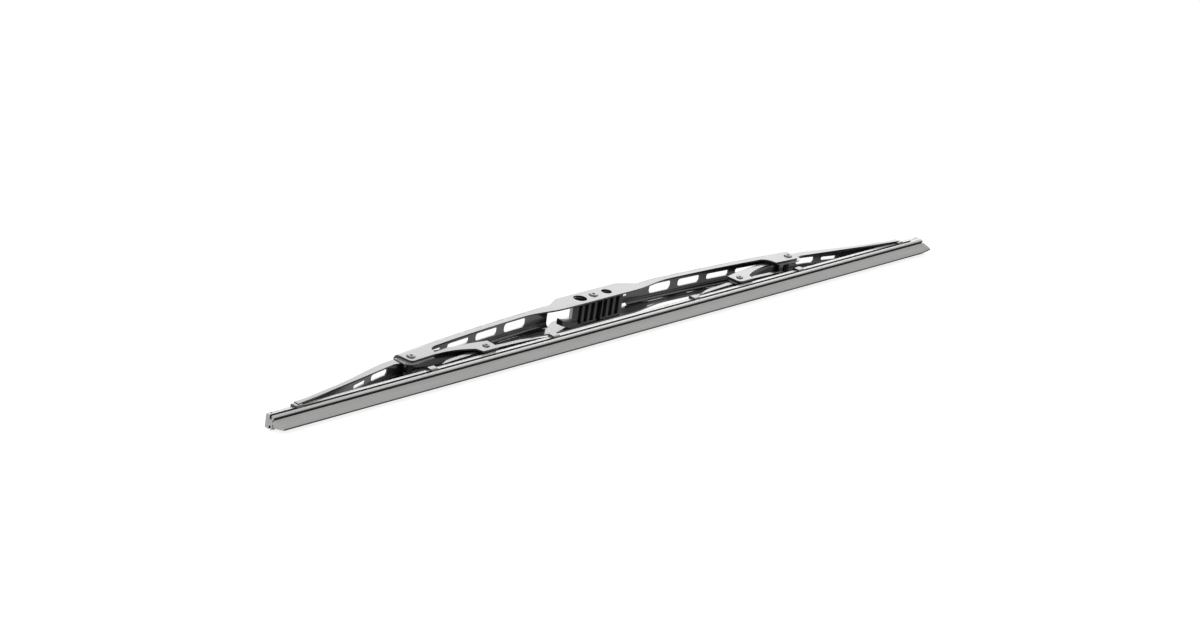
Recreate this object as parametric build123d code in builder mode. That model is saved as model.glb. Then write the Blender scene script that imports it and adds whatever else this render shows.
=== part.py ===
from build123d import *
from math import asin, atan2, cos, hypot, sin, sqrt
import os

# Driving dimensions in millimetres. Stations run along the blade from its middle, heights run from the
# wiping edge of the lip to the spine, and widths run across the blade from its middle plane.

# Rubber element
BLADE_LENGTH = 450.0
LIP_HALF = 0.35
LIP_ROOT_HALF = 1.9
LIP_ROOT = 6.7
NECK_HALF = 0.6
NECK_LOW = 7.35
NECK_HIGH = 7.9
FLANGE_HALF = 3.4
FLANGE_EDGE = 6.95
FLANGE_EDGE_HALF = 2.3
FLANGE_BULGE = (7.55, 3.0)
FLANGE_TOP = 8.5
GROOVE_HALF = 1.5
GROOVE_TOP = 9.7
HEAD_HALF = 3.3
HEAD_TOP = 12.1
HEAD_CHAMFER = 0.4
STRIP_SLOT_LOW = 10.6
STRIP_SLOT_HIGH = 11.4
STRIP_SLOT_HALF = 1.0
STRIP_GAP = 0.05
STRIP_END_GAP = 2.4
END_BLOCK = 1.4
GROOVE_BLOCK = 8.0

# Claws that grip the rubber's head
CLAW_STATION_OUTER = 208.5
CLAW_LENGTH = 4.0
CLAW_HALF = 4.3
CLAW_SHEET = 0.8
CLAW_FOOT = 8.65
CLAW_HOOK = 0.9
CLAW_MOUTH_HALF = 1.9
CLAW_BACK_GAP = 0.1
CLAW_BACK = 0.8
CLAW_TOP = HEAD_TOP + CLAW_BACK_GAP + CLAW_BACK
CLAW_BEND = 1.0

# Pivots
MAIN_PIVOT = (131.4, 21.5)
YOKE_PIVOT = (88.6, 16.3)
CENTRE_PIVOT = (0.0, 33.0)
PIVOT_PLAY = 0.05
MAIN_SHANK = 1.5
YOKE_SHANK = 1.2
CENTRE_SHANK = 1.6
RIVET_HEAD_RATIO = 1.5
RIVET_DIMPLE_RATIO = 0.65
RIVET_DIMPLE_DEPTH = 0.6
RIVET_HEAD_HEIGHT = 0.55
RIVET_BULGE = 0.1

# Primary bridge
PRIMARY_HALF = 6.25
PRIMARY_SHEET = 0.8
PRIMARY_BEND = 3.0
SPINE_TOP = 36.7
SPINE_END = 28.0
WALL_DEPTH = 5.5
PLATE_REACH = 4.4
PLATE_TAPER = 0.8
PLATE_FOOT = 17.1
PLATE_CORNER = 2.0
PLATE_HEEL = (118.4, 18.2)
PLATE_HEEL_ROUND = 0.8
PLATE_NECK = 117.6
PLATE_NECK_BLEND = 5.5
SADDLE_HALF = 28.0
SADDLE_NECK = 46.0
SADDLE_EDGE = 27.5
SADDLE_BLEND = 60.0
WINDOW_HALF = 28.0
WINDOW_FLOOR = 32.2
EAR_TOP = 38.2
EAR_TOP_HALF = 21.0
EAR_FOOT_HALF = 30.8
EAR_FOOT = 33.2
EAR_ROOT = 31.7
EAR_ROUND = 5.0
SIDE_HOLE_STATION = 9.2
SIDE_HOLE_LARGE = 3.4
SIDE_HOLE_SMALL = 2.65
VENT_FIRST = 50.7
VENT_PITCH = 19.9
VENT_LENGTH = 15.2
VENT_WIDTHS = (4.5, 3.7, 2.8, 2.2)
VENT_ROUNDNESS = 0.4
TONGUE_TIP = 22.4
TONGUE_ROOT = 29.0
TONGUE_INNER = 0.3
TONGUE_OUTER = 4.2

# Secondary bridges
SECONDARY_HALF = 4.6
SECONDARY_SHEET = 0.8
SECONDARY_BEND = 1.8
SECONDARY_SPINE = [(84, 20.3), (92, 21.7), (110, 23.7), (131.4, 25.2), (141, 25.2), (158, 22.0),
                   (178, 17.4), (197, 14.1), (CLAW_STATION_OUTER, CLAW_TOP)]
SECONDARY_END_SLOPE = 0.2
SECONDARY_TAIL = 10.3
OUTER_ARM_END = (195.0, 12.3)
OUTER_ARM_ROOT = (142.0, 21.3)
MAIN_PLATE_RADIUS = 4.7
MAIN_PLATE_SIDE = (136.0, 20.6)
INNER_ARM_ARCH = (113.0, 20.6)
INNER_ARM_END = (95.3, 15.9)
INNER_ARM_BLEND = 1.5
YOKE_PLATE_HEEL = (94.3, 12.2)
YOKE_PLATE_HEEL_ROUND = 0.8
YOKE_PLATE_TOE = (84.4, 12.2)
YOKE_PLATE_CORNER = 2.2
OUTER_VENTS = [(148.4, 11.7, 3.0), (163.3, 9.2, 1.7)]

# Yokes
YOKE_HALF = 3.15
YOKE_SHEET = 0.8
YOKE_BEND = 1.0
YOKE_CLAW_REACH = 39.4
YOKE_CREST = 18.2
YOKE_SHOULDER = (15.0, 17.3)
YOKE_ELBOW = (27.0, 15.9)
YOKE_EDGE = 12.4
YOKE_ARCH = 14.5

# Plastic liners of the pivots
MAIN_LINER_WALL = 0.5
MAIN_LINER_SPAN = (120.5, 137.7)
MAIN_LINER_EDGE = 16.0
MAIN_LINER_HEEL = 17.2
MAIN_LINER_SIDE = 19.0
MAIN_LINER_TOE = 134.7
MAIN_LINER_CORNER = 5.0
MAIN_LINER_GAP = 0.25
MAIN_LINER_ROUND = 0.8
YOKE_LINER_WALL = 0.35
YOKE_LINER_SPAN = (-5.8, 5.5)
YOKE_LINER_EDGE = 13.4
YOKE_LINER_GAP = 0.1
YOKE_LINER_ROUND = 0.7

# Arm adapter
ADAPTER_HALF = 4.95
ADAPTER_SPAN = (-19.2, 16.8)
ADAPTER_LOW = 27.8
ADAPTER_HIGH = 37.1
ADAPTER_SLOPE_TOP = -10.7
ADAPTER_RIB_PITCH = 4.3
ADAPTER_RIB_SHIFT = -0.8
ADAPTER_RIB_GROOVE = 2.6
ADAPTER_RIB_DEPTH = 1.6
ADAPTER_CHEEK = 0.9
ADAPTER_PIN_PLAY = 0.07
ADAPTER_SNAP = 2.7
ADAPTER_PIN_LARGE = 3.2
ADAPTER_PIN_SMALL = 2.4
NOSE_FRONT_ROUND = 1.6
NOSE_BACK_ROUND = 6.0
NOSE_TOOTH = 0.7
NOSE_TOOTH_PITCH = 1.4
NOSE_TOOTH_REACH = 0.9
NOSE_TOOTH_ROOT = 3.0
NOSE_TOOTH_HEIGHT = 4.4
LEVER_ROOT = -12.0
LEVER_KNEE = -19.5
LEVER_BEND = -21.5
LEVER_TIP = -26.0
LEVER_LOW = 27.3
LEVER_HIGH = 31.0
LEVER_ROOT_THICKNESS = 1.65
LEVER_THICKNESS = 3.6
LEVER_CURL = 2.2
LEVER_TIP_THICKNESS = 2.8

# The blade lies on the main rivets' heads and on the bends of its claws, so its plane leans towards the lip
REST_HEAD = (MAIN_PIVOT[1] - MAIN_SHANK, PRIMARY_HALF + RIVET_HEAD_HEIGHT)
REST_BEND = (CLAW_FOOT + CLAW_BEND, CLAW_HALF - CLAW_BEND)
REST_RUN = REST_HEAD[0] - REST_BEND[0]
REST_RISE = REST_HEAD[1] - REST_BEND[1]
LEAN = atan2(REST_RISE, REST_RUN) - asin(CLAW_BEND / hypot(REST_RUN, REST_RISE))
REST_HEIGHT = CLAW_BEND + REST_BEND[1] * cos(LEAN) - REST_BEND[0] * sin(LEAN)
BACK_REACH = EAR_TOP * cos(LEAN) + PRIMARY_HALF * sin(LEAN)
FRONT_REACH = -LIP_HALF * sin(LEAN)
SIDE = Plane(
    origin=(0, -(BACK_REACH + FRONT_REACH) / 2, REST_HEIGHT),
    x_dir=(1, 0, 0),
    z_dir=(0, -sin(LEAN), cos(LEAN)),
)
HEIGHT = Axis(SIDE.origin, SIDE.y_dir)

SPINE_DROP = SPINE_TOP - SPINE_END
PLATE_END = MAIN_PIVOT[0] + PLATE_REACH
PLATE_TOE = (PLATE_END - PLATE_TAPER, PLATE_FOOT)
SPINE_RADIUS = (PLATE_END**2 + SPINE_DROP**2) / (2 * SPINE_DROP)


def spine(station, below=0.0):
    """Point of the primary bridge's spine arc at a station, or so far below it."""
    return station, SPINE_TOP - SPINE_RADIUS + sqrt(SPINE_RADIUS**2 - station**2) - below


def across(station):
    """Plane square to the blade: x runs from the lip to the spine, y across the blade."""
    return Plane(SIDE.from_local_coords((station, 0, 0)), x_dir=SIDE.y_dir, z_dir=SIDE.x_dir)


def above(station, height):
    """Plane that looks down on the spine: x runs along the blade, z away from the lip."""
    return Plane(SIDE.from_local_coords((station, height, 0)), x_dir=SIDE.x_dir, z_dir=SIDE.y_dir)


def through_axis(pivot):
    """Plane that holds a pivot's axis: x runs along the blade, y across it."""
    return Plane(SIDE.from_local_coords((*pivot, 0)), x_dir=SIDE.x_dir, z_dir=-SIDE.y_dir)


def write(part, node):
    """Label a finished piece and write it as one node."""
    part.label = node
    export_step(part, f"parts/{node}.step")


def write_pair(part, node):
    """Write a right-hand piece and its left-hand twin."""
    twin = mirror(part, about=Plane.YZ)
    write(part, f"{node}_right")
    write(twin, f"{node}_left")


def round_corners(sketch, corners):
    """Fillet the corners of a side view, each given as its place and radius."""
    for place, radius in corners:
        fillet(sketch.vertices().sort_by_distance(place)[0], radius)


def claw(station):
    """C-shaped claw: a back over the rubber's head and two hooks in its grooves."""
    with BuildPart() as one:
        with BuildSketch(across(station - CLAW_LENGTH / 2)):
            with Locations(((CLAW_FOOT + CLAW_TOP) / 2, 0)):
                outer = Rectangle(CLAW_TOP - CLAW_FOOT, 2 * CLAW_HALF)
            fillet(outer.vertices(), CLAW_BEND)
            room = CLAW_TOP - CLAW_BACK - CLAW_FOOT - CLAW_HOOK
            with Locations((CLAW_FOOT + CLAW_HOOK + room / 2, 0)):
                Rectangle(room, 2 * (CLAW_HALF - CLAW_SHEET), mode=Mode.SUBTRACT)
            with Locations((CLAW_FOOT, 0)):
                Rectangle(3 * CLAW_HOOK, 2 * CLAW_MOUTH_HALF, mode=Mode.SUBTRACT)
        extrude(amount=CLAW_LENGTH)
    return one.part


def rivet(pivot, grip, shank):
    """Rivet across the blade with a dimpled, peened head on both sides of its grip."""
    crown = grip + RIVET_HEAD_HEIGHT
    head = shank * RIVET_HEAD_RATIO
    bulge = ((head + shank) / 2 + RIVET_BULGE, (crown + grip) / 2 + RIVET_BULGE)
    with BuildPart() as one:
        with BuildSketch(through_axis(pivot)):
            with BuildLine():
                Polyline(
                    (0, 0),
                    (0, crown - RIVET_DIMPLE_DEPTH),
                    (shank * RIVET_DIMPLE_RATIO, crown),
                    (shank, crown),
                )
                ThreePointArc((shank, crown), bulge, (head, grip))
                Polyline((head, grip), (shank, grip), (shank, 0), (0, 0))
            make_face()
            mirror(about=Plane.XZ)
        revolve(axis=Axis(SIDE.from_local_coords((*pivot, 0)), SIDE.z_dir))
    return one.part


os.makedirs("parts", exist_ok=True)

# Rubber element: one section drawn as a half and mirrored
with BuildPart() as rubber:
    with BuildSketch(across(-BLADE_LENGTH / 2)):
        with BuildLine():
            Polyline(
                (0, 0),
                (0, LIP_HALF),
                (LIP_ROOT, LIP_ROOT_HALF),
                (NECK_LOW, NECK_HALF),
                (NECK_HIGH, NECK_HALF),
                (FLANGE_EDGE, FLANGE_EDGE_HALF),
            )
            ThreePointArc((FLANGE_EDGE, FLANGE_EDGE_HALF), FLANGE_BULGE, (FLANGE_TOP, FLANGE_HALF))
            Polyline(
                (FLANGE_TOP, FLANGE_HALF),
                (FLANGE_TOP, GROOVE_HALF),
                (GROOVE_TOP, GROOVE_HALF),
                (GROOVE_TOP, HEAD_HALF),
                (STRIP_SLOT_LOW, HEAD_HALF),
                (STRIP_SLOT_LOW, STRIP_SLOT_HALF),
                (STRIP_SLOT_HIGH, STRIP_SLOT_HALF),
                (STRIP_SLOT_HIGH, HEAD_HALF),
                (HEAD_TOP - HEAD_CHAMFER, HEAD_HALF),
                (HEAD_TOP, HEAD_HALF - HEAD_CHAMFER),
                (HEAD_TOP, 0),
                (0, 0),
            )
        make_face()
        mirror(about=Plane.XZ)
    extrude(amount=BLADE_LENGTH)
    for station in (-BLADE_LENGTH / 2, BLADE_LENGTH / 2 - END_BLOCK):
        with BuildSketch(across(station)):
            with Locations(((STRIP_SLOT_LOW + STRIP_SLOT_HIGH) / 2, 0)):
                Rectangle(STRIP_SLOT_HIGH - STRIP_SLOT_LOW, 2 * HEAD_HALF)
        extrude(amount=END_BLOCK)
    with BuildSketch(across(BLADE_LENGTH / 2 - GROOVE_BLOCK)):
        with Locations(((FLANGE_TOP + GROOVE_TOP) / 2, 0)):
            Rectangle(GROOVE_TOP - FLANGE_TOP, 2 * HEAD_HALF)
    extrude(amount=GROOVE_BLOCK)
write(rubber.part, "rubber_element")

# Spring-steel strips in the side grooves of the rubber's head
STRIP_LENGTH = BLADE_LENGTH - 2 * STRIP_END_GAP
STRIP_THICKNESS = STRIP_SLOT_HIGH - STRIP_SLOT_LOW - 2 * STRIP_GAP
STRIP_INNER = STRIP_SLOT_HALF + STRIP_GAP
with BuildPart() as vertebra:
    with BuildSketch(across(-STRIP_LENGTH / 2)):
        with Locations(((STRIP_SLOT_LOW + STRIP_SLOT_HIGH) / 2, (STRIP_INNER + HEAD_HALF) / 2)):
            Rectangle(STRIP_THICKNESS, HEAD_HALF - STRIP_INNER)
    extrude(amount=STRIP_LENGTH)
vertebra_twin = mirror(vertebra.part, about=SIDE)
write(vertebra.part, "vertebra_upper")
write(vertebra_twin, "vertebra_lower")

# Primary bridge: hollow under its spine
with BuildPart() as primary_hollow:
    with BuildSketch(SIDE):
        with BuildLine():
            reach = PLATE_END + 10
            hollow_top = [spine(u, PRIMARY_SHEET) for u in (-reach, 0, reach)]
            ThreePointArc(*hollow_top)
            Polyline(hollow_top[2], (reach, 0), (-reach, 0), hollow_top[0])
        make_face()
    extrude(amount=PRIMARY_HALF - PRIMARY_SHEET, both=True)
    inner_bends = primary_hollow.edges().filter_by(GeomType.CIRCLE)
    fillet(inner_bends, PRIMARY_BEND - PRIMARY_SHEET)

# Primary bridge: side view drawn as a half, pressed over the hollow
with BuildPart() as primary:
    with BuildSketch(SIDE) as primary_side:
        with BuildLine():
            ThreePointArc(spine(0), spine(PLATE_END / 2), spine(PLATE_END))
            Polyline(spine(PLATE_END), PLATE_TOE, PLATE_HEEL, spine(PLATE_NECK, WALL_DEPTH))
            middle = (PLATE_NECK + SADDLE_NECK) / 2
            ThreePointArc(*[spine(u, WALL_DEPTH) for u in (PLATE_NECK, middle, SADDLE_NECK)])
            Polyline(spine(SADDLE_NECK, WALL_DEPTH), (SADDLE_HALF, SADDLE_EDGE), (0, SADDLE_EDGE), spine(0))
        make_face()
        corners = (
            (PLATE_TOE, PLATE_CORNER),
            (PLATE_HEEL, PLATE_HEEL_ROUND),
            (spine(PLATE_NECK, WALL_DEPTH), PLATE_NECK_BLEND),
            (spine(SADDLE_NECK, WALL_DEPTH), SADDLE_BLEND),
            ((SADDLE_HALF, SADDLE_EDGE), SADDLE_BLEND),
        )
        round_corners(primary_side, corners)
        mirror(about=Plane.YZ)
    extrude(amount=PRIMARY_HALF, both=True)
    long_arcs = primary.edges().filter_by(GeomType.CIRCLE).group_by(SortBy.RADIUS)[-1]
    fillet(long_arcs.group_by(HEIGHT)[-1], PRIMARY_BEND)
    add(primary_hollow.part, mode=Mode.SUBTRACT)
    # Window in the spine over the saddle
    with BuildSketch(above(0, WINDOW_FLOOR)):
        Rectangle(2 * WINDOW_HALF, 2 * PRIMARY_HALF)
    extrude(amount=EAR_TOP, mode=Mode.SUBTRACT)
    # Ears on both side walls
    for width in (-PRIMARY_HALF, PRIMARY_HALF - PRIMARY_SHEET):
        with BuildSketch(SIDE.offset(width)) as ear:
            Polygon(
                (-EAR_FOOT_HALF, EAR_ROOT),
                (EAR_FOOT_HALF, EAR_ROOT),
                (EAR_FOOT_HALF, EAR_FOOT),
                (EAR_TOP_HALF, EAR_TOP),
                (-EAR_TOP_HALF, EAR_TOP),
                (-EAR_FOOT_HALF, EAR_FOOT),
                align=None,
            )
            fillet(ear.vertices().group_by(Axis.Y)[-1], EAR_ROUND)
        extrude(amount=PRIMARY_SHEET)
    # Stop tongue of the spine at the window's right end
    with BuildSketch(above(0, spine(WINDOW_HALF, PRIMARY_SHEET)[1])):
        with Locations(((TONGUE_TIP + TONGUE_ROOT) / 2, (TONGUE_INNER + TONGUE_OUTER) / 2)):
            Rectangle(TONGUE_ROOT - TONGUE_TIP, TONGUE_OUTER - TONGUE_INNER)
    extrude(amount=PRIMARY_SHEET)
    # Vent slots along the spine, narrower towards the ends
    for index, width in enumerate(VENT_WIDTHS):
        station = VENT_FIRST + index * VENT_PITCH
        with BuildSketch(above(0, SPINE_TOP)):
            with Locations((-station, 0), (station, 0)):
                RectangleRounded(VENT_LENGTH, width, width * VENT_ROUNDNESS)
        extrude(amount=-SPINE_TOP / 2, mode=Mode.SUBTRACT)
    # Holes across both side walls
    with BuildSketch(SIDE):
        with Locations((-SIDE_HOLE_STATION, CENTRE_PIVOT[1])):
            Circle(SIDE_HOLE_LARGE)
        with Locations((SIDE_HOLE_STATION, CENTRE_PIVOT[1])):
            Circle(SIDE_HOLE_SMALL)
        with Locations(CENTRE_PIVOT):
            Circle(CENTRE_SHANK)
        with Locations(MAIN_PIVOT, (-MAIN_PIVOT[0], MAIN_PIVOT[1])):
            Circle(MAIN_SHANK)
    extrude(amount=2 * PRIMARY_HALF, both=True, mode=Mode.SUBTRACT)
write(primary.part, "primary_bridge")
write(rivet(CENTRE_PIVOT, PRIMARY_HALF, CENTRE_SHANK), "centre_pin")
write_pair(rivet(MAIN_PIVOT, PRIMARY_HALF, MAIN_SHANK), "main_rivet")

# Secondary bridge: hollow under its curved spine
with BuildPart() as secondary_hollow:
    with BuildSketch(SIDE):
        with BuildLine():
            under = [(u, v - SECONDARY_SHEET) for u, v in SECONDARY_SPINE]
            lead = (under[0][0] - CLAW_LENGTH, under[0][1] - CLAW_LENGTH * SECONDARY_END_SLOPE)
            run_out = (CLAW_STATION_OUTER + CLAW_LENGTH, under[-1][1])
            Line(lead, under[0])
            Spline(*under, tangents=((1, SECONDARY_END_SLOPE), (1, 0)))
            Polyline(under[-1], run_out, (run_out[0], 0), (lead[0], 0), lead)
        make_face()
    extrude(amount=SECONDARY_HALF - SECONDARY_SHEET, both=True)
    inner_bends = secondary_hollow.edges().filter_by(GeomType.BSPLINE)
    fillet(inner_bends, SECONDARY_BEND - SECONDARY_SHEET)

# Secondary bridge: side view with a plate at each pivot and an arch between them
outer_claw = claw(CLAW_STATION_OUTER)
with BuildPart() as secondary:
    with BuildSketch(SIDE) as secondary_side:
        with BuildLine():
            Spline(*SECONDARY_SPINE, tangents=((1, SECONDARY_END_SLOPE), (1, 0)))
            tail = (CLAW_STATION_OUTER, SECONDARY_TAIL)
            Polyline(SECONDARY_SPINE[-1], tail, OUTER_ARM_END, OUTER_ARM_ROOT, MAIN_PLATE_SIDE)
            diagonal = MAIN_PLATE_RADIUS * sqrt(0.5)
            plate_corner = (MAIN_PIVOT[0] + diagonal, MAIN_PIVOT[1] - diagonal)
            plate_foot = (MAIN_PIVOT[0], MAIN_PIVOT[1] - MAIN_PLATE_RADIUS)
            ThreePointArc(MAIN_PLATE_SIDE, plate_corner, plate_foot)
            ThreePointArc(plate_foot, INNER_ARM_ARCH, INNER_ARM_END)
            Polyline(INNER_ARM_END, YOKE_PLATE_HEEL, YOKE_PLATE_TOE, SECONDARY_SPINE[0])
        make_face()
        corners = (
            (INNER_ARM_END, INNER_ARM_BLEND),
            (YOKE_PLATE_HEEL, YOKE_PLATE_HEEL_ROUND),
            (YOKE_PLATE_TOE, YOKE_PLATE_CORNER),
        )
        round_corners(secondary_side, corners)
    extrude(amount=SECONDARY_HALF, both=True)
    long_edges = secondary.edges().filter_by(GeomType.BSPLINE).sort_by(SortBy.LENGTH)[-2:]
    fillet(long_edges, SECONDARY_BEND)
    add(secondary_hollow.part, mode=Mode.SUBTRACT)
    add(outer_claw)
    for station, length, width in OUTER_VENTS:
        with BuildSketch(above(station, SPINE_TOP)):
            RectangleRounded(length, width, width * VENT_ROUNDNESS)
        extrude(amount=HEAD_TOP - SPINE_TOP, mode=Mode.SUBTRACT)
    with BuildSketch(SIDE):
        with Locations(MAIN_PIVOT):
            Circle(MAIN_SHANK + PIVOT_PLAY)
        with Locations(YOKE_PIVOT):
            Circle(YOKE_SHANK)
    extrude(amount=2 * SECONDARY_HALF, both=True, mode=Mode.SUBTRACT)
write_pair(secondary.part, "secondary_bridge")
write_pair(rivet(YOKE_PIVOT, SECONDARY_HALF, YOKE_SHANK), "yoke_rivet")

# Yoke: crest over its pivot, arms that run down to a claw at both ends
near_claw = claw(YOKE_PIVOT[0] - YOKE_CLAW_REACH)
far_claw = claw(YOKE_PIVOT[0] + YOKE_CLAW_REACH)
YOKE_ARM = [YOKE_SHOULDER, YOKE_ELBOW, (YOKE_CLAW_REACH - CLAW_LENGTH / 2, CLAW_TOP)]
YOKE_TOP = [(YOKE_PIVOT[0] - reach, height) for reach, height in reversed(YOKE_ARM)]
YOKE_TOP += [(YOKE_PIVOT[0], YOKE_CREST)]
YOKE_TOP += [(YOKE_PIVOT[0] + reach, height) for reach, height in YOKE_ARM]
with BuildPart() as yoke_hollow:
    with BuildSketch(SIDE):
        with BuildLine():
            under = [(u, v - YOKE_SHEET) for u, v in YOKE_TOP]
            Spline(*under, tangents=((1, 0), (1, 0)))
            Polyline(under[-1], (under[-1][0], 0), (under[0][0], 0), under[0])
        make_face()
    extrude(amount=YOKE_HALF - YOKE_SHEET, both=True)
with BuildPart() as yoke:
    with BuildSketch(SIDE):
        with BuildLine():
            Spline(*YOKE_TOP, tangents=((1, 0), (1, 0)))
            near_edge = (YOKE_TOP[0][0], YOKE_EDGE)
            far_edge = (YOKE_TOP[-1][0], YOKE_EDGE)
            Line(YOKE_TOP[-1], far_edge)
            ThreePointArc(far_edge, (YOKE_PIVOT[0], YOKE_ARCH), near_edge)
            Line(near_edge, YOKE_TOP[0])
        make_face()
    extrude(amount=YOKE_HALF, both=True)
    fillet(yoke.edges().filter_by(GeomType.BSPLINE), YOKE_BEND)
    add(yoke_hollow.part, mode=Mode.SUBTRACT)
    add(near_claw)
    add(far_claw)
    with BuildSketch(SIDE):
        with Locations(YOKE_PIVOT):
            Circle(YOKE_SHANK + PIVOT_PLAY)
    extrude(amount=2 * YOKE_HALF, both=True, mode=Mode.SUBTRACT)
write_pair(yoke.part, "yoke")

# Wear liner that rides on the secondary bridge inside the primary bridge
MAIN_LINER_TOP = max(v for u, v in SECONDARY_SPINE) + MAIN_LINER_GAP
with BuildPart() as main_liner:
    with BuildSketch(SIDE) as main_liner_side:
        start, end = MAIN_LINER_SPAN
        Polygon(
            (start, MAIN_LINER_HEEL),
            (MAIN_LINER_TOE, MAIN_LINER_EDGE),
            (end, MAIN_LINER_SIDE),
            (end, MAIN_LINER_TOP + MAIN_LINER_WALL),
            (start, MAIN_LINER_TOP + MAIN_LINER_WALL),
            align=None,
        )
        fillet(main_liner_side.vertices().group_by(Axis.Y)[0], MAIN_LINER_CORNER)
        with Locations(MAIN_PIVOT):
            Circle(MAIN_SHANK + 2 * PIVOT_PLAY, mode=Mode.SUBTRACT)
    extrude(amount=SECONDARY_HALF + MAIN_LINER_WALL, both=True)
    top_face = main_liner.faces().sort_by(HEIGHT)[-1]
    fillet(top_face.edges().filter_by(Axis.X), MAIN_LINER_ROUND)
    with BuildSketch(SIDE):
        with Locations(((start + end) / 2, MAIN_LINER_TOP - SPINE_TOP / 2)):
            Rectangle(2 * (end - start), SPINE_TOP)
    extrude(amount=SECONDARY_HALF, both=True, mode=Mode.SUBTRACT)
write_pair(main_liner.part, "main_liner")

# Wear liner that rides on the yoke inside the secondary bridge
with BuildPart() as yoke_liner:
    with BuildSketch(SIDE):
        start, end = (YOKE_PIVOT[0] + reach for reach in YOKE_LINER_SPAN)
        liner_top = YOKE_CREST + YOKE_LINER_GAP
        with Locations(((start + end) / 2, (YOKE_LINER_EDGE + liner_top + YOKE_LINER_WALL) / 2)):
            RectangleRounded(end - start, liner_top + YOKE_LINER_WALL - YOKE_LINER_EDGE, YOKE_LINER_ROUND)
        with Locations(YOKE_PIVOT):
            Circle(YOKE_SHANK + 2 * PIVOT_PLAY, mode=Mode.SUBTRACT)
    extrude(amount=YOKE_HALF + YOKE_LINER_WALL, both=True)
    top_face = yoke_liner.faces().sort_by(HEIGHT)[-1]
    fillet(top_face.edges().filter_by(Axis.X), YOKE_LINER_ROUND)
    with BuildSketch(SIDE):
        with Locations(((start + end) / 2, liner_top - SPINE_TOP / 2)):
            Rectangle(2 * (end - start), SPINE_TOP)
    extrude(amount=YOKE_HALF, both=True, mode=Mode.SUBTRACT)
write_pair(yoke_liner.part, "yoke_liner")

# Arm adapter: a wedge with a round nose for the arm's hook, clipped on the centre pin
with BuildPart() as adapter:
    with BuildSketch(SIDE) as adapter_side:
        start, end = ADAPTER_SPAN
        Polygon(
            (start, ADAPTER_LOW),
            (end, ADAPTER_LOW),
            (end, ADAPTER_HIGH),
            (ADAPTER_SLOPE_TOP, ADAPTER_HIGH),
            align=None,
        )
        corners = (
            ((end, ADAPTER_LOW), NOSE_FRONT_ROUND),
            ((end, ADAPTER_HIGH), NOSE_BACK_ROUND),
        )
        round_corners(adapter_side, corners)
    extrude(amount=ADAPTER_HALF, both=True)
    # Teeth on the round nose
    tooth_middle = end + (NOSE_TOOTH_REACH - NOSE_TOOTH_ROOT) / 2
    for index in (-3, -2, -1, 1, 2, 3):
        with BuildSketch(SIDE.offset(index * NOSE_TOOTH_PITCH - NOSE_TOOTH / 2)):
            with Locations((tooth_middle, (ADAPTER_LOW + ADAPTER_HIGH) / 2)):
                Rectangle(NOSE_TOOTH_ROOT + NOSE_TOOTH_REACH, NOSE_TOOTH_HEIGHT)
        extrude(amount=NOSE_TOOTH)
    # Release lever along the lower side wall, with a curled tip
    with BuildSketch(above(0, LEVER_LOW)):
        Polygon(
            (LEVER_ROOT, ADAPTER_HALF),
            (LEVER_KNEE, ADAPTER_HALF),
            (LEVER_TIP, ADAPTER_HALF - LEVER_CURL),
            (LEVER_TIP, ADAPTER_HALF - LEVER_CURL - LEVER_TIP_THICKNESS),
            (LEVER_BEND, ADAPTER_HALF - LEVER_THICKNESS),
            (LEVER_ROOT, ADAPTER_HALF - LEVER_ROOT_THICKNESS),
            align=None,
        )
    extrude(amount=LEVER_HIGH - LEVER_LOW)
    # Ribs on the underside, closed at the foot by a cheek
    for index in range(-3, 4):
        with BuildSketch(SIDE.offset(ADAPTER_CHEEK - ADAPTER_HALF)):
            with Locations((index * ADAPTER_RIB_PITCH + ADAPTER_RIB_SHIFT, ADAPTER_LOW)):
                Rectangle(ADAPTER_RIB_GROOVE, 2 * ADAPTER_RIB_DEPTH)
        extrude(amount=2 * ADAPTER_HALF, mode=Mode.SUBTRACT)
    # Snap bore for the centre pin, and the bores for an arm with a side pin
    with BuildSketch(SIDE):
        with Locations((-SIDE_HOLE_STATION, CENTRE_PIVOT[1])):
            Circle(ADAPTER_PIN_LARGE)
        with Locations((SIDE_HOLE_STATION, CENTRE_PIVOT[1])):
            Circle(ADAPTER_PIN_SMALL)
        with Locations(CENTRE_PIVOT):
            Circle(CENTRE_SHANK + ADAPTER_PIN_PLAY)
        with Locations((CENTRE_PIVOT[0], ADAPTER_LOW)):
            Rectangle(ADAPTER_SNAP, 2 * (CENTRE_PIVOT[1] - ADAPTER_LOW))
    extrude(amount=2 * ADAPTER_HALF, both=True, mode=Mode.SUBTRACT)
write(adapter.part, "hook_adapter")
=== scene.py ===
from math import asin, atan2, copysign, cos, hypot, pi, radians, sin

import bmesh
import bpy
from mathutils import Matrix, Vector


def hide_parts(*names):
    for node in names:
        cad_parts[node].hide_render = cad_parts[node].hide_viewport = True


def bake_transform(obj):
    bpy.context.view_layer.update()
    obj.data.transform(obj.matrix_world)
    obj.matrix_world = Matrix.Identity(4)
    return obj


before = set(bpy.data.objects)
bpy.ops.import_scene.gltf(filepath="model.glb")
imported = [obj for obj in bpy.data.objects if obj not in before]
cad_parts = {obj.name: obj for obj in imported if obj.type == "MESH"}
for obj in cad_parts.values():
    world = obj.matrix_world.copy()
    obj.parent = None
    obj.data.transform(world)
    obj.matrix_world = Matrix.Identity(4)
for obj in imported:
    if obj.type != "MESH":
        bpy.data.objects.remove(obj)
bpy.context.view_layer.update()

# Blade coordinates in millimetres: u along the blade, v from the lip to the spine, w across the blade.
# The blade leans on the main rivets' heads and on the bends of its claws.
MM = 0.001
BLADE_HALF = 225.0
CLAW_BEND = 1.0
CLAW_BEND_AT = (9.65, 3.3)
RIVET_RIM_AT = (20.0, 6.8)
SPINE_CORNER_AT = (38.2, 6.25)
LIP_HALF = 0.35
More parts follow.
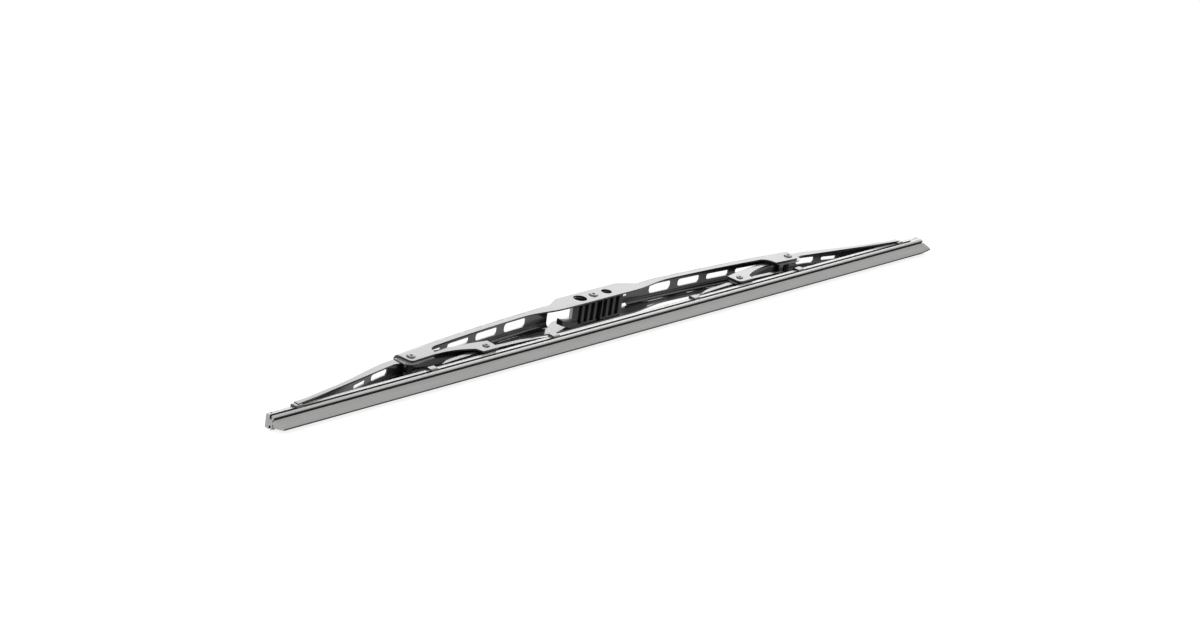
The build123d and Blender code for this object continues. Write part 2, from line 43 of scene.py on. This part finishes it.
MAIN_GRIP = 6.2
YOKE_GRIP = 4.55
RUN = RIVET_RIM_AT[0] - CLAW_BEND_AT[0]
RISE = RIVET_RIM_AT[1] - CLAW_BEND_AT[1]
LEAN = atan2(RISE, RUN) - asin(CLAW_BEND / hypot(RUN, RISE))
LIFT = CLAW_BEND + CLAW_BEND_AT[1] * cos(LEAN) - CLAW_BEND_AT[0] * sin(LEAN)
BACK = SPINE_CORNER_AT[0] * cos(LEAN) + SPINE_CORNER_AT[1] * sin(LEAN)
SETBACK = -(BACK - LIP_HALF * sin(LEAN)) / 2


def blade(u, v, w):
    """Point of the row frame, in metres, for blade coordinates in millimetres."""
    y = SETBACK + v * cos(LEAN) - w * sin(LEAN)
    z = LIFT + v * sin(LEAN) + w * cos(LEAN)
    return Vector((u, y, z)) * MM


def width_at(point):
    """Distance across the blade, in millimetres, of a point of the row frame."""
    return cos(LEAN) * (point.z / MM - LIFT) - sin(LEAN) * (point.y / MM - SETBACK)


# Materials. Grains are frequencies along the three axes, per metre on CAD meshes and per millimetre on the
# rubber and the strips. Bump distances are in metres.
REFRACTION = 1.5
SPECULAR = 0.5
PAINT_PATCHES = (60, 60, 60)
PAINT_SMEARS = (25, 140, 140)
ORANGE_PEEL = (900, 900, 900)
PLASTIC_CLOUDS = (120, 120, 120)
SPARK_GRAIN = (2200, 2200, 2200)
RUBBER_STREAKS = (0.012, 2.6, 2.6)
RUBBER_DUST = (0.05, 0.4, 0.4)
BRUSH_LINES = (0.01, 6.0, 6.0)
DARK_STEEL = (0.42, 0.42, 0.42)
PALE_STEEL = (0.55, 0.55, 0.56)
FINE_BUMP = 0.0002
STREAK_BUMP = 0.0003

# Places of the sockets of a colour mix node
MIX_FACTOR = 0
MIX_FIRST = 6
MIX_SECOND = 7
MIX_RESULT = 2


class Surface:
    """A node material with one Principled shader and short calls for what feeds it."""

    def __init__(self, name, **values):
        self.material = bpy.data.materials.new(name)
        self.material.use_nodes = True
        self.tree = self.material.node_tree
        self.shader = self.tree.nodes["Principled BSDF"]
        self.shader.inputs["IOR"].default_value = REFRACTION
        for socket, value in values.items():
            self.shader.inputs[socket.replace("_", " ")].default_value = value

    def node(self, kind, **values):
        made = self.tree.nodes.new(kind)
        for key, value in values.items():
            setattr(made, key, value)
        return made

    def link(self, source, target):
        self.tree.links.new(source, target)

    def place(self, scale, attribute=None):
        """Coordinates stretched by scale: the mesh's own, or those kept in an attribute."""
        if attribute:
            coordinates = self.node("ShaderNodeAttribute", attribute_name=attribute).outputs["Vector"]
        else:
            coordinates = self.node("ShaderNodeTexCoord").outputs["Object"]
        mapping = self.node("ShaderNodeMapping")
        mapping.inputs["Scale"].default_value = scale
        self.link(coordinates, mapping.inputs["Vector"])
        return mapping.outputs["Vector"]

    def noise(self, scale, detail=4.0, attribute=None, distortion=0.0):
        """Noise whose grain has the given frequency along each axis."""
        made = self.node("ShaderNodeTexNoise")
        made.inputs["Scale"].default_value = 1.0
        made.inputs["Detail"].default_value = detail
        made.inputs["Distortion"].default_value = distortion
        self.link(self.place(scale, attribute), made.inputs["Vector"])
        return made.outputs["Fac"]

    def ramp(self, source, *stops):
        """Map a value through stops of (position, value or colour)."""
        made = self.node("ShaderNodeValToRGB")
        elements = made.color_ramp.elements
        while len(elements) < len(stops):
            elements.new(0.5)
        for element, (position, value) in zip(elements, stops):
            element.position = position
            element.color = (*value, 1.0) if isinstance(value, tuple) else (value, value, value, 1.0)
        self.link(source, made.inputs["Fac"])
        return made.outputs["Color"]

    def mix(self, factor, first, second):
        """Blend two colours, each a socket or a colour, by a factor socket."""
        made = self.node("ShaderNodeMix", data_type="RGBA")
        self.link(factor, made.inputs[MIX_FACTOR])
        for socket, value in ((made.inputs[MIX_FIRST], first), (made.inputs[MIX_SECOND], second)):
            if isinstance(value, tuple):
                socket.default_value = (*value, 1.0)
            else:
                self.link(value, socket)
        return made.outputs[MIX_RESULT]

    def feed(self, socket, source):
        self.link(source, self.shader.inputs[socket])

    def bump(self, source, strength, distance):
        """Add a bump, on top of one that is already there."""
        made = self.node("ShaderNodeBump")
        made.inputs["Strength"].default_value = strength
        made.inputs["Distance"].default_value = distance
        self.link(source, made.inputs["Height"])
        normal = self.shader.inputs["Normal"]
        if normal.is_linked:
            self.link(normal.links[0].from_socket, made.inputs["Normal"])
        self.link(made.outputs["Normal"], normal)


def paint(name, colour, roughness):
    """Glossy black paint on pressed steel, with a faint orange peel and handling marks."""
    surface = Surface(name, Coat_Weight=1.0, Coat_Roughness=0.06, Specular_IOR_Level=SPECULAR)
    patches = surface.noise(PAINT_PATCHES, detail=5)
    surface.feed("Base Color", surface.ramp(patches, (0.3, tuple(c * 0.7 for c in colour)), (0.75, colour)))
    smears = surface.noise(PAINT_SMEARS, detail=6, distortion=0.4)
    surface.feed("Roughness", surface.ramp(smears, (0.35, roughness), (0.75, roughness + 0.12)))
    surface.bump(surface.noise(ORANGE_PEEL, detail=2), 0.06, FINE_BUMP)
    return surface.material


def plastic(name, colour, roughness, grain, gloss=0.0):
    """Moulded plastic with a fine spark-eroded grain."""
    surface = Surface(name, Specular_IOR_Level=SPECULAR, Coat_Weight=gloss, Coat_Roughness=0.1)
    clouds = surface.noise(PLASTIC_CLOUDS, detail=4)
    surface.feed("Base Color", surface.ramp(clouds, (0.3, tuple(c * 0.6 for c in colour)), (0.7, colour)))
    surface.feed("Roughness", surface.ramp(clouds, (0.3, roughness), (0.7, roughness + 0.15)))
    surface.bump(surface.noise(SPARK_GRAIN, detail=2), grain, FINE_BUMP)
    return surface.material


def rubber(name, graphite, roughness, polish=0.0):
    """Rubber with a streaked graphite finish, more or less polished."""
    surface = Surface(name, Specular_IOR_Level=SPECULAR, Coat_Weight=polish, Coat_Roughness=0.16)
    lines = surface.noise(RUBBER_STREAKS, detail=6, attribute="rest")
    dust = surface.noise(RUBBER_DUST, detail=6, attribute="rest", distortion=0.6)
    dark = tuple(c * 0.86 for c in graphite)
    pale = tuple(c * 1.12 for c in graphite)
    streaked = surface.ramp(lines, (0.3, dark), (0.7, graphite))
    dusted = surface.mix(surface.ramp(dust, (0.45, 0.0), (0.85, 0.6)), streaked, pale)
    surface.feed("Base Color", dusted)
    surface.feed("Roughness", surface.ramp(lines, (0.3, roughness), (0.7, roughness + 0.05)))
    surface.bump(lines, 0.04, STREAK_BUMP)
    return surface.material


def steel(name):
    """Brushed spring steel."""
    surface = Surface(name, Metallic=1.0)
    lines = surface.noise(BRUSH_LINES, detail=4, attribute="rest")
    surface.feed("Base Color", surface.ramp(lines, (0.3, DARK_STEEL), (0.7, PALE_STEEL)))
    surface.feed("Roughness", surface.ramp(lines, (0.3, 0.32), (0.7, 0.45)))
    return surface.material


BLACK_PAINT = paint("black_paint", (0.012, 0.012, 0.013), 0.22)
RIVET_PAINT = paint("rivet_paint", (0.02, 0.02, 0.02), 0.3)
BLACK_PLASTIC = plastic("black_plastic", (0.014, 0.014, 0.015), 0.28, 0.08)
MAIN_LINER_PLASTIC = plastic("main_liner_plastic", (0.3, 0.3, 0.3), 0.3, 0.05, gloss=1.0)
YOKE_LINER_PLASTIC = plastic("yoke_liner_plastic", (0.03, 0.03, 0.03), 0.22, 0.05, gloss=1.0)
# Matt, uncoated and a little darker than the heads: painted shade on the rivets' shanks between the walls
SHANK_PAINTED_SHADE = plastic("shank_painted_shade", (0.012, 0.012, 0.012), 0.6, 0.05)
LIP_RUBBER = rubber("lip_rubber", (0.34, 0.336, 0.33), 0.55)
BACK_RUBBER = rubber("back_rubber", (0.42, 0.416, 0.41), 0.3, polish=1.0)
# Near-black rubber: painted shade in the rubber's groove, slit and slots and across the lip's edge
PAINTED_SHADE_RUBBER = rubber("painted_shade_rubber", (0.01, 0.01, 0.01), 0.6)
# Paler than the lip rubber: painted light on the rubber's end faces
END_RUBBER_PAINTED_LIGHT = rubber("end_rubber_painted_light", (0.44, 0.436, 0.43), 0.6)
SPRING_STEEL = steel("spring_steel")

for node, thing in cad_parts.items():
    if node.startswith(("primary", "secondary")) or node in ("yoke_left", "yoke_right"):
        finish = BLACK_PAINT
    elif "rivet" in node or node == "centre_pin":
        finish = RIVET_PAINT
    elif node.startswith("main_liner"):
        finish = MAIN_LINER_PLASTIC
    elif node.startswith("yoke_liner"):
        finish = YOKE_LINER_PLASTIC
    elif node == "hook_adapter":
        finish = BLACK_PLASTIC
    else:
        finish = BACK_RUBBER
    thing.data.materials.clear()
    thing.data.materials.append(finish)
    if "rivet" in node:
        # The shanks between the walls get a matt, darker black: painted shade between the walls
        grip = MAIN_GRIP if "main" in node else YOKE_GRIP
        thing.data.materials.append(SHANK_PAINTED_SHADE)
        for polygon in thing.data.polygons:
            if abs(width_at(thing.matrix_world @ polygon.center)) < grip:
                polygon.material_index = 1

# Rubber element and its strips, drawn as sections that run along the blade. Each half is cut into three
# lengths, and the table also names the two parts that hold each length and where they hold it.
STATION_STEP = 1.5
SHARP_ANGLE = 32
MIDDLE_HALF = 6.0
SPLIT_MIDDLE = 34.0
SPLIT_CLAW = 48.0
NEAR_CLAW = 46.0
FAR_CLAW = 131.5
OUTER_CLAW = 206.0
LENGTHS = (
    ("mid", 0.0, SPLIT_MIDDLE, "bridge", "secondary", MIDDLE_HALF, SPLIT_MIDDLE),
    ("inner", SPLIT_MIDDLE, SPLIT_CLAW, "secondary", "yoke", SPLIT_MIDDLE, NEAR_CLAW),
    ("outer", SPLIT_CLAW, BLADE_HALF, "yoke", "secondary", FAR_CLAW, OUTER_CLAW),
)

# Half outline of the rubber: the finish of each stretch and the points that it leads to. The near-black
# stretches, across the lip's edge, in the slit under the flange, in the groove and in the strip's slot, are
# painted shade.
RUBBER_OUTLINE = (
    (PAINTED_SHADE_RUBBER, [(0.0, 0.0), (0.0, 0.28), (0.08, 0.35)]),
    (LIP_RUBBER, [(2.2, 0.85), (4.4, 1.36), (6.4, 1.82), (6.6, 1.84)]),
    (PAINTED_SHADE_RUBBER, [(6.72, 1.76), (7.35, 0.6), (7.9, 0.6), (7.02, 2.2), (6.95, 2.34), (7.0, 2.46),
                   (7.2, 2.7)]),
    (BACK_RUBBER, [(7.55, 3.0), (8.0, 3.24), (8.42, 3.38)]),
    (PAINTED_SHADE_RUBBER, [(8.5, 3.3), (8.5, 1.5), (9.7, 1.5), (9.7, 3.2), (9.8, 3.3), (10.0, 3.3)]),
    (BACK_RUBBER, [(10.6, 3.3)]),
    (PAINTED_SHADE_RUBBER, [(10.6, 1.0), (11.4, 1.0), (11.4, 3.3)]),
    (BACK_RUBBER, [(11.7, 3.3), (12.1, 2.9), (12.1, 0.0)]),
)
RUBBER_HALF = [(v, w, finish) for finish, points in RUBBER_OUTLINE for v, w in points]
STRIP_POINTS = ((10.65, 1.05), (11.35, 1.05), (11.35, 3.22), (11.27, 3.3), (10.73, 3.3), (10.65, 3.22))
STRIP_END = 222.6

# The rubber's ends are solid: the strips' slots stop short of them, and at the right the grooves do too
SLOT_END = 223.6
GROOVE_END = 217.0
SLOT_HEIGHTS = (10.6, 11.4)
GROOVE_HEIGHTS = (8.5, 9.7)
FILLED_HALF = 3.27
CUT = 0.01
TRIM_START = 216.0
TRIM_DEPTH = 1.5
LIP_REACH = 3.0


def closed(half):
    """Whole outline from a half that starts and ends on the middle plane."""
    mirrored = []
    for (v, w, before), (next_v, next_w, finish) in zip(half[1:-1], half[2:]):
        mirrored.append((v, -w, finish))
    return half + mirrored[::-1]


def filled(outline, low, high):
    """Outline without the hollows in its sides between two heights."""
    made = []
    for v, w, finish in outline:
        if low <= v <= high:
            w = copysign(max(abs(w), FILLED_HALF), w)
            finish = BACK_RUBBER
        made.append((v, w, finish))
    return made


def rubber_at(u):
    """Outline of the rubber at a station."""
    outline = closed(RUBBER_HALF)
    if abs(u) > SLOT_END:
        outline = filled(outline, *SLOT_HEIGHTS)
    if u > GROOVE_END:
        outline = filled(outline, *GROOVE_HEIGHTS)
    trim = TRIM_DEPTH * max(0.0, u - TRIM_START) / (BLADE_HALF - TRIM_START)
    return [(max(v, trim + v * (1 - trim / LIP_REACH)), w, finish) for v, w, finish in outline]


def strip_at(side):
    """Outline of the strip on one side of the rubber's head, the same at all stations."""
    outline = [(v, side * w, SPRING_STEEL) for v, w in STRIP_POINTS]
    return lambda u: outline


def stations(start, end):
    """Even stations from start to end, with a pair at each place where the section steps."""
    count = max(2, round((end - start) / STATION_STEP))
    even = [start + (end - start) * index / count for index in range(count + 1)]
    steps = []
    for place in (GROOVE_END, SLOT_END):
        if start < place < end:
            steps += [place, place + CUT]
    return sorted(set(even + steps))


def run(name, outline_at, along, end_finish):
    """Closed mesh of an outline carried along the blade's stations."""
    mesh = bpy.data.meshes.new(name)
    mesh.materials.append(end_finish)
    slots = [end_finish]
    work = bmesh.new()
    rest = work.verts.layers.float_vector.new("rest")
    rings = []
    for u in along:
        ring = []
        for v, w, finish in outline_at(u):
            vert = work.verts.new(blade(u, v, w))
            vert[rest] = (u, v, w)
            ring.append((vert, finish))
        rings.append(ring)
    size = len(rings[0])
    for first, second in zip(rings, rings[1:]):
        for index in range(size):
            after = (index + 1) % size
            corners = (first[index], first[after], second[after], second[index])
            face = work.faces.new([vert for vert, finish in corners])
            finish = first[after][1]
            if finish not in slots:
                slots.append(finish)
                mesh.materials.append(finish)
            face.material_index = slots.index(finish)
    for ring in (rings[0], rings[-1]):
        work.faces.new([vert for vert, finish in ring])
    bmesh.ops.recalc_face_normals(work, faces=work.faces)
    work.to_mesh(mesh)
    work.free()
    mesh.polygons.foreach_set("use_smooth", [True] * len(mesh.polygons))
    mesh.set_sharp_from_angle(angle=radians(SHARP_ANGLE))
    thing = bpy.data.objects.new(name, mesh)
    bpy.context.scene.collection.objects.link(thing)
    return thing


def lengths(name, node, outline_at, end, end_finish):
    """The six lengths of one long piece, three for each hand, that stand for a CAD node."""
    for hand, sign in (("left", -1), ("right", 1)):
        for part, first, last, near, far, start, stop in LENGTHS:
            along = [sign * u for u in stations(first, min(last, end))]
            thing = run(f"{name}_{part}_{hand}", outline_at, along, end_finish)
            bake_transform(thing)
            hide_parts(node)


# The rubber's end faces get the paler rubber, which is painted light
lengths("rubber", "rubber_element", rubber_at, BLADE_HALF, END_RUBBER_PAINTED_LIGHT)
lengths("strip_upper", "vertebra_upper", strip_at(1), STRIP_END, SPRING_STEEL)
lengths("strip_lower", "vertebra_lower", strip_at(-1), STRIP_END, SPRING_STEEL)

# Studio
WORLD_LIGHT = 0.55
WORLD_SEEN = 1.0
WORLD_MIRRORED = 1.0
FLOOR_HALF = 12.0
FLOOR_COLOUR = (0.8, 0.8, 0.8, 1)
FLOOR_ROUGHNESS = 0.9
FLOOR_GLOW = 1.22
FLOOR_GLOW_SHARE = 0.7
FLOOR_MIRRORED = 0.5
LAMP_AIM = (0, 0, 0.01)
CAMERA_LENS = 98.19
CAMERA_SENSOR = 36.0
CAMERA_AT = (-1.10648, -1.0426, 0.35145)
CAMERA_TURN = (77.217, 1.915, -46.932)
scene = bpy.context.scene
scene.view_settings.view_transform = "Standard"


def is_seen(tree, mirrored):
    """Value of 1 for rays that come from the camera, and of mirrored for those from a mirror or glass."""
    path = tree.nodes.new("ShaderNodeLightPath")
    seen = path.outputs["Is Camera Ray"]
    for name in ("Is Glossy Ray", "Is Transmission Ray"):
        both = tree.nodes.new("ShaderNodeMath")
        both.operation = "MULTIPLY_ADD"
        both.use_clamp = True
        tree.links.new(path.outputs[name], both.inputs[0])
        both.inputs[1].default_value = mirrored
        tree.links.new(seen, both.inputs[2])
        seen = both.outputs[0]
    return seen


world = bpy.data.worlds.new("studio")
scene.world = world
world.use_nodes = True
backdrop = world.node_tree.nodes["Background"]
strength = world.node_tree.nodes.new("ShaderNodeMapRange")
strength.inputs["To Min"].default_value = WORLD_LIGHT
strength.inputs["To Max"].default_value = WORLD_SEEN
world.node_tree.links.new(is_seen(world.node_tree, WORLD_MIRRORED), strength.inputs["Value"])
world.node_tree.links.new(strength.outputs["Result"], backdrop.inputs["Strength"])
backdrop.inputs["Color"].default_value = (1, 1, 1, 1)

floor_mesh = bpy.data.meshes.new("floor")
corners = [(x * FLOOR_HALF, y * FLOOR_HALF, 0) for x, y in ((-1, -1), (1, -1), (1, 1), (-1, 1))]
floor_mesh.from_pydata(corners, [], [(0, 1, 2, 3)])
floor = bpy.data.objects.new("floor", floor_mesh)
scene.collection.objects.link(floor)
floor_material = bpy.data.materials.new("floor")
floor_material.use_nodes = True
tree = floor_material.node_tree
plain = tree.nodes["Principled BSDF"]
plain.inputs["Base Color"].default_value = FLOOR_COLOUR
plain.inputs["Roughness"].default_value = FLOOR_ROUGHNESS
glow = tree.nodes.new("ShaderNodeEmission")
glow.inputs["Strength"].default_value = FLOOR_GLOW
blank = tree.nodes.new("ShaderNodeMixShader")
share = tree.nodes.new("ShaderNodeMapRange")
share.inputs["To Max"].default_value = FLOOR_GLOW_SHARE
tree.links.new(is_seen(tree, FLOOR_MIRRORED), share.inputs["Value"])
tree.links.new(share.outputs["Result"], blank.inputs["Fac"])
tree.links.new(plain.outputs["BSDF"], blank.inputs[1])
tree.links.new(glow.outputs["Emission"], blank.inputs[2])
tree.links.new(blank.outputs["Shader"], tree.nodes["Material Output"].inputs["Surface"])
floor_mesh.materials.append(floor_material)


def softbox(name, place, width, height, brightness):
    """Rectangular lamp that looks from its place to the blade's middle."""
    lamp = bpy.data.lights.new(name, "AREA")
    lamp.shape = "RECTANGLE"
    lamp.size = width
    lamp.size_y = height
    lamp.energy = brightness * pi * width * height
    thing = bpy.data.objects.new(name, lamp)
    thing.location = place
    thing.rotation_euler = (Vector(LAMP_AIM) - Vector(place)).to_track_quat("-Z", "Y").to_euler()
    thing.visible_camera = False
    scene.collection.objects.link(thing)


softbox("back_softbox", (1.06, 0.75, 0.75), width=0.8, height=0.6, brightness=1.65)
softbox("left_softbox", (-0.9, -0.35, 0.8), width=0.5, height=0.5, brightness=6.0)
softbox("side_softbox", (1.05, -0.06, 1.0), width=0.6, height=0.5, brightness=3.0)

# Camera
camera_data = bpy.data.cameras.new("camera")
camera_data.sensor_width = CAMERA_SENSOR
camera_data.lens = CAMERA_LENS
camera = bpy.data.objects.new("camera", camera_data)
camera.location = CAMERA_AT
camera.rotation_euler = [radians(angle) for angle in CAMERA_TURN]
scene.collection.objects.link(camera)
scene.camera = camera
